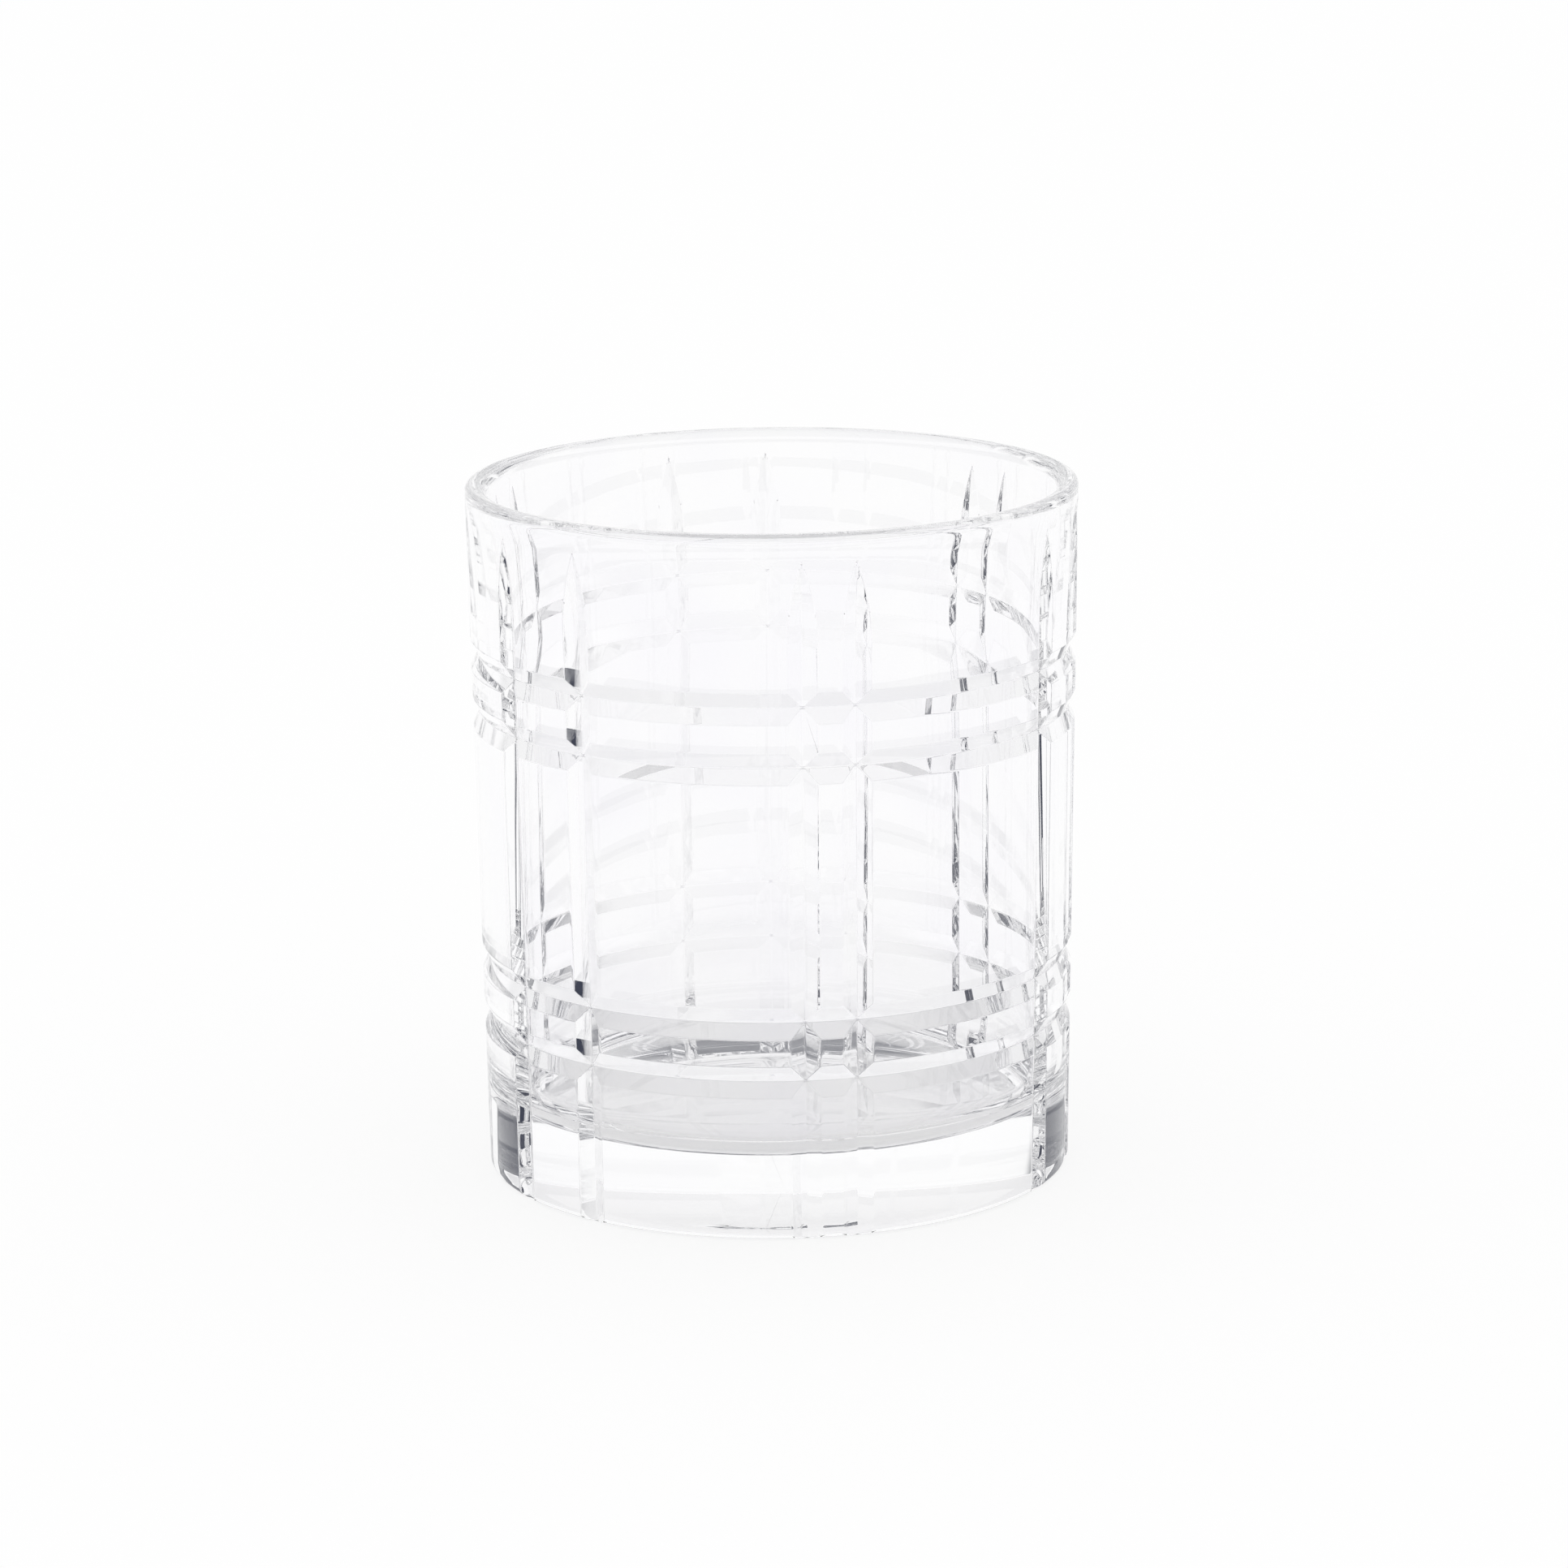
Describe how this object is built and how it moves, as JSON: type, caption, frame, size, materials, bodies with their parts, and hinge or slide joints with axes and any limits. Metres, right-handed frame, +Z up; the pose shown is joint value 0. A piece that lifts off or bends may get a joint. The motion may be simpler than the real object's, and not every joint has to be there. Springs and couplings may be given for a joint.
{
  "type": "whiskey tumbler",
  "caption": "Heavy-based clear cut-glass whiskey tumbler with V grooves crossing in a plaid pattern, open at the top for a drink and ice.",
  "frame": {"origin": "centre of the foot ring, on the surface that the glass stands on", "axes": "+Z up through the mouth; a narrow pair of upright grooves is centred on -Y"},
  "size_m": [0.086, 0.086, 0.0985],
  "materials": {
    "clear_crystal": "polished"
  },
  "bodies": {
    "root": {"tumbler": "clear_crystal"}
  },
  "joints": []
}
